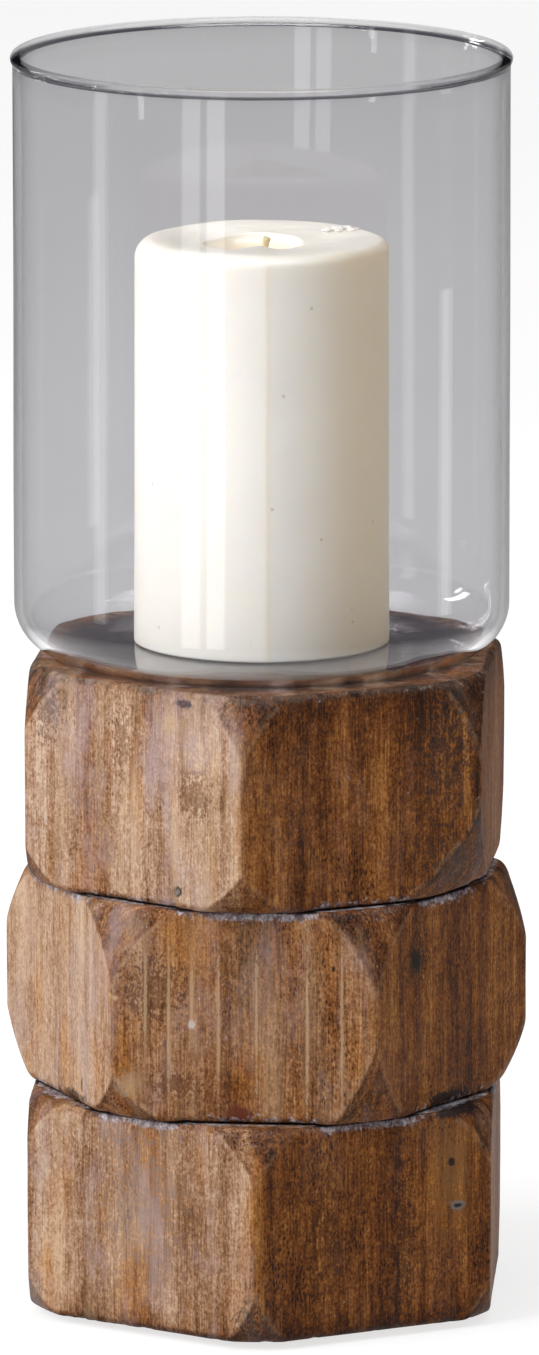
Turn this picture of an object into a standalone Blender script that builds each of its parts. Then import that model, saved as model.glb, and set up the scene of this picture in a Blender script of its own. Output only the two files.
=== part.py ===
"""Hurricane candle holder, modelled for Blender 4.5. Metres, +Z up, front towards -Y.

Three hexagonal wood blocks are stacked with the middle one turned by half a
facet. A tie rod with a washer and nut at each end clamps them, and two dowels
in each joint stop them turning. The stack stands on felt pads. A glass
hurricane cup stands loose on the top block, and a pillar candle stands loose
in the cup. The origin is on the stack's axis, on the floor.
"""

import math

import bmesh
import bpy
from mathutils import Matrix

MM = 0.001
FIT_GAP = 0.3 * MM           # clearance between neighbouring pieces
OVERCUT = 2.0 * MM           # how far a cutter runs past the face that it opens
MERGE = 0.00001

# Wood blocks
LOWER_HEIGHT = 63.6 * MM
MIDDLE_HEIGHT = 63.3 * MM
UPPER_HEIGHT = 64.2 * MM
LOWER_APOTHEM = 68.6 * MM    # axis to each flat facet
MIDDLE_APOTHEM = 67.3 * MM
UPPER_APOTHEM = 67.7 * MM
BELLY_MARGIN = 0.6 * MM      # turned radius at mid height, past the hexagon's corners
BELLY_DROP = 5.0 * MM        # how much smaller the turned radius is towards each end
BELLY_POWER = 1.5
ROUND_DEPTH = 8.3 * MM       # end round-over, across
ROUND_HEIGHT = 6.0 * MM      # end round-over, along the axis
UPPER_TURN = 0.0             # degrees from a corner facing -Y
MIDDLE_TURN = 30.0
LOWER_TURN = 2.8
BLOCK_STEPS = 72
BELLY_POINTS = 7
ROUND_POINTS = 5

# Felt pads under the lowest block
PAD_RADIUS = 9.0 * MM
PAD_HEIGHT = 2.0 * MM
PAD_CHAMFER = 0.4 * MM
PAD_CIRCLE = 50.0 * MM
PAD_COUNT = 6

# Clamping hardware
ROD_RADIUS = 4.0 * MM
ROD_CHAMFER = 0.8 * MM
ROD_PROUD = 2.0 * MM         # rod end past the nut
BORE_RADIUS = ROD_RADIUS + FIT_GAP
WASHER_RADIUS = 12.0 * MM
WASHER_HEIGHT = 2.0 * MM
NUT_FLATS = 13.0 * MM
NUT_HEIGHT = 6.5 * MM
NUT_CHAMFER_RADIUS = 6.2 * MM
NUT_CHAMFER = 0.8 * MM
POCKET_RADIUS = 13.5 * MM
POCKET_DEPTH = 13.0 * MM
HARDWARE_STEPS = 32

# Dowels
DOWEL_RADIUS = 4.0 * MM
DOWEL_LENGTH = 30.0 * MM
DOWEL_CHAMFER = 0.8 * MM
DOWEL_OFFSET = 34.0 * MM     # axis of the stack to a dowel's axis
DOWEL_STEPS = 20

# Glass cup
GLASS_HEIGHT = 177.7 * MM
GLASS_RADIUS = 73.0 * MM
GLASS_WALL = 2.4 * MM
GLASS_FLOOR = 2.2 * MM
GLASS_CORNER = 15.0 * MM     # outside radius between floor and wall
BEAD_RADIUS = 1.55 * MM      # rolled rim
BEAD_OUTER_ANGLE = -56.0     # degrees, where the bead runs into the outside wall
GLASS_STEPS = 72
GLASS_INNER_POINTS = 6
GLASS_OUTER_POINTS = 8
BEAD_POINTS = 10
CUP_OFFSET = -1.4 * MM       # the cup stands a little to the left of the stack's axis

# Candle
CANDLE_RADIUS = 38.1 * MM
CANDLE_HEIGHT = 121.5 * MM
CANDLE_SHOULDER = 5.0 * MM
CANDLE_FOOT = 1.5 * MM
WELL_RADIUS = 12.5 * MM
WELL_DEPTH = 7.0 * MM
DISH_DEPTH = 2.0 * MM        # fall of the top from its rim to the well's lip
CANDLE_STEPS = 48
WELL_POINTS = 6
SHOULDER_POINTS = 5
FOOT_POINTS = 3
WICK_RADIUS = 1.1 * MM
WICK_STAND = 8.0 * MM        # wick above the bottom of the well
WICK_LEAN = 1.6 * MM         # sideways, at the wick's tip
WICK_BEND = 0.4              # share of the stand at which the wick starts to lean over
WICK_BEND_LEAN = 0.15        # share of the lean reached there
WICK_BEVEL = 2
TAB_RADIUS = 9.5 * MM
TAB_THICKNESS = 0.6 * MM
TAB_NECK_RADIUS = 2.4 * MM
TAB_NECK_HEIGHT = 5.0 * MM
TAB_STEPS = 24

# Heights in the assembly
LOWER_Z = PAD_HEIGHT + FIT_GAP
MIDDLE_Z = LOWER_Z + LOWER_HEIGHT + FIT_GAP
UPPER_Z = MIDDLE_Z + MIDDLE_HEIGHT + FIT_GAP
STACK_TOP = UPPER_Z + UPPER_HEIGHT
GLASS_Z = STACK_TOP + FIT_GAP
CANDLE_Z = GLASS_Z + GLASS_FLOOR + FIT_GAP


def clear_scene():
    for obj in list(bpy.data.objects):
        bpy.data.objects.remove(obj, do_unlink=True)


def new_collection(name):
    group = bpy.data.collections.new(name)
    bpy.context.scene.collection.children.link(group)
    return group


def new_material(name, colour, roughness, metallic=0.0, alpha=1.0):
    material = bpy.data.materials.new(name)
    material.use_nodes = True
    shader = material.node_tree.nodes["Principled BSDF"]
    shader.inputs["Base Color"].default_value = (*colour, 1.0)
    shader.inputs["Roughness"].default_value = roughness
    shader.inputs["Metallic"].default_value = metallic
    shader.inputs["Alpha"].default_value = alpha
    return material


def place(obj, group, height=0.0, parent=None, material=None):
    """Links an object, gives it its material and sets its world height on the stack's axis."""
    group.objects.link(obj)
    obj.location.z = height
    if parent is not None:
        obj.parent = parent
        obj.location.z -= world_height(parent)
    if material is not None:
        obj.data.materials.append(material)
    return obj


def world_height(obj):
    height = obj.location.z
    if obj.parent is not None:
        height += world_height(obj.parent)
    return height


def arc(centre, radii, start, end, count):
    """Points on an ellipse's arc in the profile plane; angles in degrees."""
    points = []
    for index in range(count + 1):
        angle = math.radians(start + (end - start) * index / count)
        points.append((centre[0] + radii[0] * math.cos(angle), centre[1] + radii[1] * math.sin(angle)))
    return points


def turned(name, profile, steps, closed=False):
    """A lathe shape: a profile of (radius, height) points that runs down its outer side."""
    mesh = bpy.data.meshes.new(name)
    vertices = [(radius, 0.0, height) for radius, height in profile]
    edges = [(index, index + 1) for index in range(len(profile) - 1)]
    if closed:
        edges.append((len(profile) - 1, 0))
    mesh.from_pydata(vertices, edges, [])
    obj = bpy.data.objects.new(name, mesh)
    screw = obj.modifiers.new("turn", "SCREW")
    screw.axis = "Z"
    screw.steps = steps
    screw.render_steps = steps
    screw.use_merge_vertices = True
    screw.merge_threshold = MERGE
    screw.use_smooth_shade = True
    return obj


def prism(name, sides, radius, low, high, turn=0.0, centre=(0.0, 0.0)):
    """A closed upright prism; with turn 0 one of its corners faces -Y."""
    shape = bmesh.new()
    bmesh.ops.create_cone(
        shape, cap_ends=True, segments=sides, radius1=radius, radius2=radius, depth=high - low,
        matrix=Matrix.Rotation(math.radians(turn), 4, "Z"))
    bmesh.ops.translate(shape, vec=(centre[0], centre[1], 0.5 * (low + high)), verts=shape.verts)
    mesh = bpy.data.meshes.new(name)
    shape.to_mesh(mesh)
    shape.free()
    return bpy.data.objects.new(name, mesh)


def corner_radius(apothem):
    """From a hexagon's centre to its corners."""
    return apothem / math.cos(math.pi / 6.0)


def hexagon(name, apothem, low, high, turn=0.0):
    return prism(name, 6, corner_radius(apothem), low, high, turn)


def boolean(obj, cutter, group, operation="DIFFERENCE"):
    """Adds a cutter, which follows the object that it shapes."""
    group.objects.link(cutter)
    cutter.parent = obj
    cutter.hide_render = True
    cutter.display_type = "WIRE"
    modifier = obj.modifiers.new(cutter.name, "BOOLEAN")
    modifier.operation = operation
    modifier.solver = "EXACT"
    modifier.object = cutter


def barrel_profile(height_of_block, apothem):
    """Half section of a block as turned on a lathe: a soft belly with rounded ends."""
    half = 0.5 * height_of_block
    belly_half = half - ROUND_HEIGHT

    def belly(height):
        widest = corner_radius(apothem) + BELLY_MARGIN
        return widest - BELLY_DROP * (abs(height) / half) ** BELLY_POWER

    inner = belly(belly_half) - ROUND_DEPTH
    radii = (ROUND_DEPTH, ROUND_HEIGHT)
    top = arc((inner, half - ROUND_HEIGHT), radii, 90.0, 0.0, ROUND_POINTS)
    bottom = arc((inner, ROUND_HEIGHT - half), radii, 0.0, -90.0, ROUND_POINTS)
    side = []
    for index in range(1, BELLY_POINTS):
        height = belly_half * (1.0 - 2.0 * index / BELLY_POINTS)
        side.append((belly(height), height))
    points = [(0.0, half)] + top + side + bottom + [(0.0, -half)]
    return [(radius, height + half) for radius, height in points]


def wood_block(name, shape, bottom, dowel_ends, pocket_end, groups, parent, material):
    """One block: a hexagonal prism turned on the lathe, bored for the rod and drilled for dowels."""
    parts, cutters = groups
    turn, height, apothem = shape
    block = hexagon(name, apothem, 0.0, height, turn)
    place(block, parts, bottom, parent, material)
    barrel = turned(name + "_barrel", barrel_profile(height, apothem), BLOCK_STEPS)
    boolean(block, barrel, cutters, "INTERSECT")
    bore = prism(name + "_bore", HARDWARE_STEPS, BORE_RADIUS, -OVERCUT, height + OVERCUT)
    boolean(block, bore, cutters)
    hole_depth = 0.5 * DOWEL_LENGTH + FIT_GAP
    spans = {"top": (height - hole_depth, height + OVERCUT), "bottom": (-OVERCUT, hole_depth)}
    for end in dowel_ends:
        for side in (-1.0, 1.0):
            label = f"{name}_{end}_hole_{'left' if side < 0.0 else 'right'}"
            hole = prism(label, DOWEL_STEPS, DOWEL_RADIUS + FIT_GAP, *spans[end],
                         centre=(side * DOWEL_OFFSET, 0.0))
            boolean(block, hole, cutters)
    pockets = {"top": (height - POCKET_DEPTH, height + OVERCUT), "bottom": (-OVERCUT, POCKET_DEPTH)}
    if pocket_end:
        pocket = prism(name + "_pocket", HARDWARE_STEPS, POCKET_RADIUS, *pockets[pocket_end])
        boolean(block, pocket, cutters)
    return block


def chamfered_rod(name, radius, length, chamfer, steps):
    """A plain round bar from height 0 upwards, with chamfered ends."""
    profile = [(0.0, length), (radius - chamfer, length), (radius, length - chamfer),
               (radius, chamfer), (radius - chamfer, 0.0), (0.0, 0.0)]
    return turned(name, profile, steps)


def ring(name, inner, outer, height, steps):
    profile = [(inner, height), (outer, height), (outer, 0.0), (inner, 0.0)]
    return turned(name, profile, steps, closed=True)


def nut(name, groups, bottom, parent, material):
    """A hexagon nut: a prism with turned corner chamfers and a clear bore."""
    parts, cutters = groups
    body = hexagon(name, 0.5 * NUT_FLATS, 0.0, NUT_HEIGHT)
    place(body, parts, bottom, parent, material)
    wide = NUT_CHAMFER_RADIUS + 2.0 * NUT_CHAMFER
    profile = [(0.0, NUT_HEIGHT), (NUT_CHAMFER_RADIUS, NUT_HEIGHT), (wide, NUT_HEIGHT - NUT_CHAMFER),
               (wide, NUT_CHAMFER), (NUT_CHAMFER_RADIUS, 0.0), (0.0, 0.0)]
    boolean(body, turned(name + "_chamfer", profile, HARDWARE_STEPS), cutters, "INTERSECT")
    bore = prism(name + "_bore", HARDWARE_STEPS, BORE_RADIUS, -OVERCUT, NUT_HEIGHT + OVERCUT)
    boolean(body, bore, cutters)


def clamping_hardware(groups, parent, material):
    """The tie rod, with a washer and a nut in the pocket at each end of the stack."""
    parts = groups[0]
    washer_low = LOWER_Z + POCKET_DEPTH - FIT_GAP - WASHER_HEIGHT
    nut_low = washer_low - FIT_GAP - NUT_HEIGHT
    washer_high = STACK_TOP - POCKET_DEPTH + FIT_GAP
    nut_high = washer_high + WASHER_HEIGHT + FIT_GAP
    for name, height in (("bottom_washer", washer_low), ("top_washer", washer_high)):
        washer = ring(name, BORE_RADIUS, WASHER_RADIUS, WASHER_HEIGHT, HARDWARE_STEPS)
        place(washer, parts, height, parent, material)
    nut("bottom_nut", groups, nut_low, parent, material)
    nut("top_nut", groups, nut_high, parent, material)
    rod_low = nut_low - ROD_PROUD
    rod_length = nut_high + NUT_HEIGHT + ROD_PROUD - rod_low
    rod = chamfered_rod("tie_rod", ROD_RADIUS, rod_length, ROD_CHAMFER, HARDWARE_STEPS)
    place(rod, parts, rod_low, parent, material)


def dowels(groups, parent, material):
    """Two dowels in each joint between blocks."""
    for joint, height in (("lower", MIDDLE_Z), ("upper", UPPER_Z)):
        for label, side in (("left", -1.0), ("right", 1.0)):
            dowel = chamfered_rod(f"{joint}_dowel_{label}", DOWEL_RADIUS, DOWEL_LENGTH, DOWEL_CHAMFER,
                                  DOWEL_STEPS)
            place(dowel, groups[0], height - 0.5 * (FIT_GAP + DOWEL_LENGTH), parent, material)
            dowel.location.x = side * DOWEL_OFFSET


def felt_pads(groups, parent, material):
    """Round pads on a circle, one under each corner of the lowest block."""
    for index in range(PAD_COUNT):
        angle = math.radians(LOWER_TURN - 90.0 + 360.0 * index / PAD_COUNT)
        pad = chamfered_rod(f"felt_pad_{index + 1}", PAD_RADIUS, PAD_HEIGHT, PAD_CHAMFER, DOWEL_STEPS)
        place(pad, groups[0], 0.0, parent, material)
        pad.location.x = PAD_CIRCLE * math.cos(angle)
        pad.location.y = PAD_CIRCLE * math.sin(angle)


def glass_cup(groups, material):
    """A straight cup with a rolled rim and a rounded corner at its floor."""
    inner = GLASS_RADIUS - GLASS_WALL
    inner_corner = GLASS_CORNER - GLASS_WALL
    bead_centre = (inner + BEAD_RADIUS, GLASS_HEIGHT - BEAD_RADIUS)
    profile = [(0.0, GLASS_FLOOR)]
    profile += arc((inner - inner_corner, GLASS_FLOOR + inner_corner), (inner_corner, inner_corner),
                   -90.0, 0.0, GLASS_INNER_POINTS)
    profile += arc(bead_centre, (BEAD_RADIUS, BEAD_RADIUS), 180.0, BEAD_OUTER_ANGLE, BEAD_POINTS)
    profile += arc((GLASS_RADIUS - GLASS_CORNER, GLASS_CORNER), (GLASS_CORNER, GLASS_CORNER),
                   0.0, -90.0, GLASS_OUTER_POINTS)
    profile.append((0.0, 0.0))
    cup = place(turned("glass_hurricane", profile, GLASS_STEPS), groups[0], GLASS_Z, None, material)
    cup.location.x = CUP_OFFSET
    return cup


def pillar_candle(groups, parent, material):
    """A pillar with a melt well, bored for the wick and recessed below for the wick's tab."""
    bore = WICK_RADIUS + FIT_GAP
    well_floor = CANDLE_HEIGHT - DISH_DEPTH - WELL_DEPTH
    lip = (WELL_RADIUS, CANDLE_HEIGHT - DISH_DEPTH)
    shoulder = CANDLE_RADIUS - CANDLE_SHOULDER
    well = arc((bore, well_floor + WELL_DEPTH), (lip[0] - bore, WELL_DEPTH), -90.0, 0.0,
               WELL_POINTS)
    top = arc((shoulder, CANDLE_HEIGHT - CANDLE_SHOULDER), (CANDLE_SHOULDER, CANDLE_SHOULDER),
              90.0, 0.0, SHOULDER_POINTS)
    foot = arc((CANDLE_RADIUS - CANDLE_FOOT, CANDLE_FOOT), (CANDLE_FOOT, CANDLE_FOOT), 0.0, -90.0,
               FOOT_POINTS)
    recess = TAB_THICKNESS + 2.0 * FIT_GAP
    neck = recess + TAB_NECK_HEIGHT
    below = [(TAB_RADIUS + FIT_GAP, 0.0), (TAB_RADIUS + FIT_GAP, recess),
             (TAB_NECK_RADIUS + FIT_GAP, recess), (TAB_NECK_RADIUS + FIT_GAP, neck), (bore, neck)]
    candle = turned("candle", well + top + foot + below, CANDLE_STEPS, closed=True)
    place(candle, groups[0], CANDLE_Z, parent, material)
    return candle, well_floor


def wick_and_tab(groups, candle, well_floor, wick_material, tab_material):
    """The wick runs up through the candle from a crimped metal tab in its foot."""
    low = TAB_THICKNESS + FIT_GAP
    neck_top = low + TAB_NECK_HEIGHT
    bore = WICK_RADIUS + FIT_GAP
    profile = [(TAB_NECK_RADIUS, neck_top), (TAB_NECK_RADIUS, low), (TAB_RADIUS, low),
               (TAB_RADIUS, FIT_GAP), (bore, FIT_GAP), (bore, neck_top)]
    place(turned("wick_tab", profile, TAB_STEPS, closed=True), groups[0], CANDLE_Z, candle, tab_material)
    tip = well_floor + WICK_STAND
    bend = well_floor + WICK_BEND * WICK_STAND
    route = [(0.0, FIT_GAP), (0.0, 0.5 * well_floor), (0.0, well_floor), (WICK_BEND_LEAN * WICK_LEAN, bend),
             (WICK_LEAN, tip)]
    curve = bpy.data.curves.new("wick", "CURVE")
    curve.dimensions = "3D"
    curve.bevel_depth = WICK_RADIUS
    curve.bevel_resolution = WICK_BEVEL
    curve.use_fill_caps = True
    spline = curve.splines.new("POLY")
    spline.points.add(len(route) - 1)
    for point, (across, height) in zip(spline.points, route):
        point.co = (across, 0.0, height, 1.0)
    place(bpy.data.objects.new("wick", curve), groups[0], CANDLE_Z, candle, wick_material)


def build():
    clear_scene()
    groups = (new_collection("hurricane_candle_holder"), new_collection("cutters"))
    wood = new_material("wood", (0.30, 0.17, 0.09), 0.75)
    pale_wood = new_material("pale_wood", (0.55, 0.40, 0.24), 0.7)
    steel = new_material("zinc_steel", (0.60, 0.60, 0.60), 0.35, metallic=1.0)
    felt = new_material("felt", (0.05, 0.045, 0.04), 0.95)
    glass = new_material("glass", (0.75, 0.75, 0.77), 0.03, alpha=0.35)
    wax = new_material("wax", (0.85, 0.80, 0.68), 0.45)
    cotton = new_material("cotton", (0.80, 0.74, 0.58), 0.9)
    tin = new_material("tin", (0.70, 0.70, 0.70), 0.4, metallic=1.0)

    stack = bpy.data.objects.new("wood_stack", None)
    groups[0].objects.link(stack)
    lower = (LOWER_TURN, LOWER_HEIGHT, LOWER_APOTHEM)
    middle = (MIDDLE_TURN, MIDDLE_HEIGHT, MIDDLE_APOTHEM)
    upper = (UPPER_TURN, UPPER_HEIGHT, UPPER_APOTHEM)
    wood_block("lower_block", lower, LOWER_Z, ("top",), "bottom", groups, stack, wood)
    wood_block("middle_block", middle, MIDDLE_Z, ("top", "bottom"), None, groups, stack, wood)
    wood_block("upper_block", upper, UPPER_Z, ("bottom",), "top", groups, stack, wood)
    clamping_hardware(groups, stack, steel)
    dowels(groups, stack, pale_wood)
    felt_pads(groups, stack, felt)
    cup = glass_cup(groups, glass)
    candle, well_floor = pillar_candle(groups, cup, wax)
    wick_and_tab(groups, candle, well_floor, cotton, tin)


build()
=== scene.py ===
import math

import bmesh
import bpy
import numpy as np
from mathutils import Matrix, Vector


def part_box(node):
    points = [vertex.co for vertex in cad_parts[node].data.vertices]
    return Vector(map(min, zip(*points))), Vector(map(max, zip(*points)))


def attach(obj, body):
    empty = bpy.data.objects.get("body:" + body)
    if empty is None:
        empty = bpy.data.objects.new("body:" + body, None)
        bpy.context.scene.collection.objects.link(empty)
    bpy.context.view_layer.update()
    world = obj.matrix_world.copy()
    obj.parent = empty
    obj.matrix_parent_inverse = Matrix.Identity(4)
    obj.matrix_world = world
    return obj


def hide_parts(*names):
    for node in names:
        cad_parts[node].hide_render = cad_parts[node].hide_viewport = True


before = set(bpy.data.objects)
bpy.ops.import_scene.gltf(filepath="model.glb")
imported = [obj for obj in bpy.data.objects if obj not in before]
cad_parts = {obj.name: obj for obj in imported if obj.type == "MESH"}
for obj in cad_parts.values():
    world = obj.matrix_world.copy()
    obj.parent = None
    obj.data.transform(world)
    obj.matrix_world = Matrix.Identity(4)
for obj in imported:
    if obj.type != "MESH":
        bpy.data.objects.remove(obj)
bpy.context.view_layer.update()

MM = 0.001
TAU = 2.0 * math.pi

# Camera, at the photograph's viewing angle
CAMERA_AZIMUTH = 5.8          # degrees towards +X from straight in front
CAMERA_ELEVATION = 11.2
CAMERA_DISTANCE = 4.0
VIEW_HEIGHT = 0.3994          # height of the view at the object
VIEW_CENTRE = (0.9 * MM, 185.8 * MM)   # to the right of the stack's axis, and up
SENSOR = 36.0


def direction(azimuth, elevation):
    """Unit vector from the object towards a place round it; azimuth 0 is straight in front."""
    a, e = math.radians(azimuth), math.radians(elevation)
    return Vector((math.sin(a) * math.cos(e), -math.cos(a) * math.cos(e), math.sin(e)))


def add_object(name, data):
    obj = bpy.data.objects.new(name, data)
    bpy.context.scene.collection.objects.link(obj)
    return obj


def aim(obj, target):
    obj.rotation_euler = (target - obj.location).to_track_quat("-Z", "Y").to_euler()


def add_camera():
    data = bpy.data.cameras.new("camera")
    camera = add_object("camera", data)
    side = Vector((math.cos(math.radians(CAMERA_AZIMUTH)), math.sin(math.radians(CAMERA_AZIMUTH)), 0.0))
    target = side * VIEW_CENTRE[0] + Vector((0.0, 0.0, VIEW_CENTRE[1]))
    camera.location = target + direction(CAMERA_AZIMUTH, CAMERA_ELEVATION) * CAMERA_DISTANCE
    aim(camera, target)
    data.sensor_width = SENSOR
    data.lens = SENSOR * CAMERA_DISTANCE / VIEW_HEIGHT
    data.clip_end = 60.0
    bpy.context.scene.camera = camera


add_camera()


# ---------------------------------------------------------------- noise and mesh helpers

def lattice(ix, iy, iz, seed):
    """A repeatable random number from 0 to 1 for each lattice point."""
    h = (ix * 374761393 + iy * 668265263 + iz * 2147483647 + seed * 1274126177) & 0xFFFFFFFF
    h = ((h ^ (h >> 13)) * 1274126177) & 0xFFFFFFFF
    h = ((h ^ (h >> 16)) * 2246822519) & 0xFFFFFFFF
    return ((h ^ (h >> 15)) & 0xFFFFFF) / float(0xFFFFFF)


def value_noise(x, y, z, seed):
    """Smooth noise from -1 to 1 at arrays of coordinates, one feature a unit."""
    x, y, z = np.broadcast_arrays(x, y, z)
    cells = [np.floor(v).astype(np.int64) for v in (x, y, z)]
    parts = [v - c for v, c in zip((x, y, z), cells)]
    fx, fy, fz = [p * p * (3.0 - 2.0 * p) for p in parts]
    total = np.zeros(x.shape)
    for dx in (0, 1):
        wx = fx if dx else 1.0 - fx
        for dy in (0, 1):
            wy = fy if dy else 1.0 - fy
            for dz in (0, 1):
                wz = fz if dz else 1.0 - fz
                total += wx * wy * wz * lattice(cells[0] + dx, cells[1] + dy, cells[2] + dz, seed)
    return 2.0 * total - 1.0


def fractal(x, y, z, seed):
    """Three octaves of smooth noise, from -1 to 1."""
    total, weight, scale, norm = 0.0, 1.0, 1.0, 0.0
    for octave in range(3):
        total = total + weight * value_noise(x * scale, y * scale, z * scale, seed + 17 * octave)
        norm += weight
        weight *= 0.5
        scale *= 2.03
    return total / norm


def smooth_step(low, high, value):
    t = np.clip((value - low) / (high - low), 0.0, 1.0)
    return t * t * (3.0 - 2.0 * t)


def smooth_min(a, b, width):
    """The lower of a and b, with the corner between them rounded over about that width."""
    h = np.clip(0.5 + 0.5 * (b - a) / width, 0.0, 1.0)
    return b + (a - b) * h - width * h * (1.0 - h)


def ring(angle, radii, levels):
    """The points of one ring round the axis; angle 0 is straight in front."""
    radii = np.broadcast_to(radii, angle.shape)
    levels = np.broadcast_to(levels, angle.shape)
    return np.stack([radii * np.sin(angle), -radii * np.cos(angle), levels], axis=-1)


def revolve_grid(name, points, capped=False):
    """A mesh from points[ring, step, xyz], closed round the axis.

    Capped closes each end ring with a fan; otherwise the last ring joins the first.
    """
    rings, steps = points.shape[:2]
    index = np.arange(rings * steps).reshape(rings, steps)
    following = np.roll(index, -1, axis=1)
    above, above_following = np.roll(index, -1, axis=0), np.roll(following, -1, axis=0)
    quads = np.stack([index, following, above_following, above], axis=-1)
    if capped:
        quads = quads[:-1]
    faces = quads.reshape(-1, 4).tolist()
    vertices = points.reshape(-1, 3).tolist()
    for end, flip in ((0, False), (rings - 1, True)) if capped else ():
        centre = len(vertices)
        vertices.append(points[end].mean(axis=0).tolist())
        for step in range(steps):
            a, b = int(index[end, step]), int(following[end, step])
            faces.append([centre, a, b] if flip else [centre, b, a])
    mesh = bpy.data.meshes.new(name)
    mesh.from_pydata(vertices, [], faces)
    mesh.shade_smooth()
    mesh.update()
    return add_object(name, mesh)


def paint(obj, name, values):
    """Stores one number a vertex, for the material to read."""
    values = np.asarray(values, dtype=np.float32).ravel()
    full = np.zeros(len(obj.data.vertices), dtype=np.float32)
    full[:len(values)] = values
    layer = obj.data.attributes.new(name, "FLOAT", "POINT")
    layer.data.foreach_set("value", full)


# ---------------------------------------------------------------- shader helper

class Graph:
    """Short calls to build the nodes of a material, or of the world."""

    def __init__(self, name, world=None):
        self.owner = world or bpy.data.materials.new(name)
        self.owner.use_nodes = True
        self.tree = self.owner.node_tree
        self.tree.nodes.clear()
        output = "ShaderNodeOutputWorld" if world else "ShaderNodeOutputMaterial"
        self.output = self.tree.nodes.new(output)

    def put(self, socket, value):
        if isinstance(value, bpy.types.NodeSocket):
            self.tree.links.new(value, socket)
        elif hasattr(socket.default_value, "__len__") and hasattr(value, "__len__"):
            size = len(socket.default_value)
            socket.default_value = tuple(value)[:size] if len(value) >= size else (*value, 1.0)
        else:
            socket.default_value = value

    def node(self, kind, inputs=None, **settings):
        node = self.tree.nodes.new("ShaderNode" + kind)
        for key, value in settings.items():
            setattr(node, key, value)
        for key, value in (inputs or {}).items():
            self.put(node.inputs[key], value)
        return node

    def math(self, operation, a, b=0.0, clamp=False):
        return self.node("Math", {0: a, 1: b}, operation=operation, use_clamp=clamp).outputs[0]

    def scale(self, vector, factors):
        return self.node("VectorMath", {0: vector, 1: factors}, operation="MULTIPLY").outputs[0]

    def offset(self, vector, amounts):
        return self.node("VectorMath", {0: vector, 1: amounts}, operation="ADD").outputs[0]

    def noise(self, vector, features, detail=3.0, roughness=0.5):
        """Noise with this many features a metre along each axis."""
        node = self.node("TexNoise", {"Vector": self.scale(vector, features), "Scale": 1.0,
                                      "Detail": detail, "Roughness": roughness})
        return node.outputs["Fac"]

    def remap(self, value, low, high, to_low=0.0, to_high=1.0, smooth=False):
        node = self.node("MapRange", {"Value": value, "From Min": low, "From Max": high,
                                      "To Min": to_low, "To Max": to_high},
                         interpolation_type="SMOOTHSTEP" if smooth else "LINEAR")
        return node.outputs["Result"]

    def mix(self, factor, a, b, blend="MIX"):
        node = self.node("Mix", data_type="RGBA", blend_type=blend)
        self.put(node.inputs["Factor"], factor)
        self.put(node.inputs[6], a)
        self.put(node.inputs[7], b)
        return node.outputs[2]

    def between(self, factor, a, b):
        """The same for plain numbers."""
        return self.node("Mix", {"Factor": factor, "A": a, "B": b}).outputs["Result"]

    def attribute(self, name):
        return self.node("Attribute", attribute_name=name).outputs["Fac"]

    def ramp(self, value, stops):
        node = self.node("ValToRGB", {"Fac": value})
        elements = node.color_ramp.elements
        elements[0].position, elements[0].color = stops[0][0], (*stops[0][1], 1.0)
        elements[1].position, elements[1].color = stops[-1][0], (*stops[-1][1], 1.0)
        for position, colour in stops[1:-1]:
            elements.new(position).color = (*colour, 1.0)
        return node.outputs["Color"]

    def bump(self, height, distance, strength):
        inputs = {"Height": height, "Distance": distance, "Strength": strength}
        return self.node("Bump", inputs).outputs["Normal"]

    def sum(self, base, layers):
        """The base plus each layer's distance from one half, times its weight."""
        for layer, weight in layers:
            base = self.plus(base, self.times(self.minus(layer, 0.5), weight))
        return base

    def times(self, a, b):
        return self.math("MULTIPLY", a, b)

    def minus(self, a, b):
        return self.math("SUBTRACT", a, b)

    def plus(self, a, b, clamp=False):
        return self.math("ADD", a, b, clamp)

    def place(self):
        """Coordinates on the object, in metres."""
        return self.node("TexCoord").outputs["Object"]

    def finish(self, shader):
        self.tree.links.new(shader, self.output.inputs["Surface"])
        return self.owner


# ---------------------------------------------------------------- wood

# Linear colours of the stained pine, from its darkest pores to its palest grain
WOOD_RAMP = (
    (0.00, (0.014, 0.005, 0.002)),
    (0.20, (0.060, 0.023, 0.009)),
    (0.40, (0.150, 0.064, 0.027)),
    (0.58, (0.265, 0.135, 0.068)),
    (0.76, (0.405, 0.247, 0.160)),
    (1.00, (0.580, 0.425, 0.315)),
)
RICH_AND_SHADE = (1.02, 0.71, 0.28)            # what the deeper orange stain does to the colour, partly painted shade on the facets turned from the key light
RESIDUE = (0.60, 0.58, 0.64)         # pale filler squeezed out of the joints
RESIDUE_DARK = (0.17, 0.14, 0.16)    # and where it has picked up dirt
# painted shade: black for the crevices of the joints, under the block above and under the glass
SHADE_BLACK = (0.008, 0.006, 0.008)
BARE_AND_HIGHLIGHT = (0.58, 0.42, 0.28)            # rubbed edges, partly painted highlights along the facet creases and the top lip
MAUVE = (0.400, 0.300, 0.300)
CREAM = (0.60, 0.42, 0.255)

MARK_RADIUS = 70.0 * MM              # about where the blocks' sides lie
MARK_REACH = 12.0 * MM               # how far a mark shows through, along the radius
RING_WIDTH = 4.9 * MM                # growth rings
PALE_RING_WIDTH = 9.3 * MM           # and the few pale ones among them
RING_WANDER = 5.0 * MM


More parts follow.
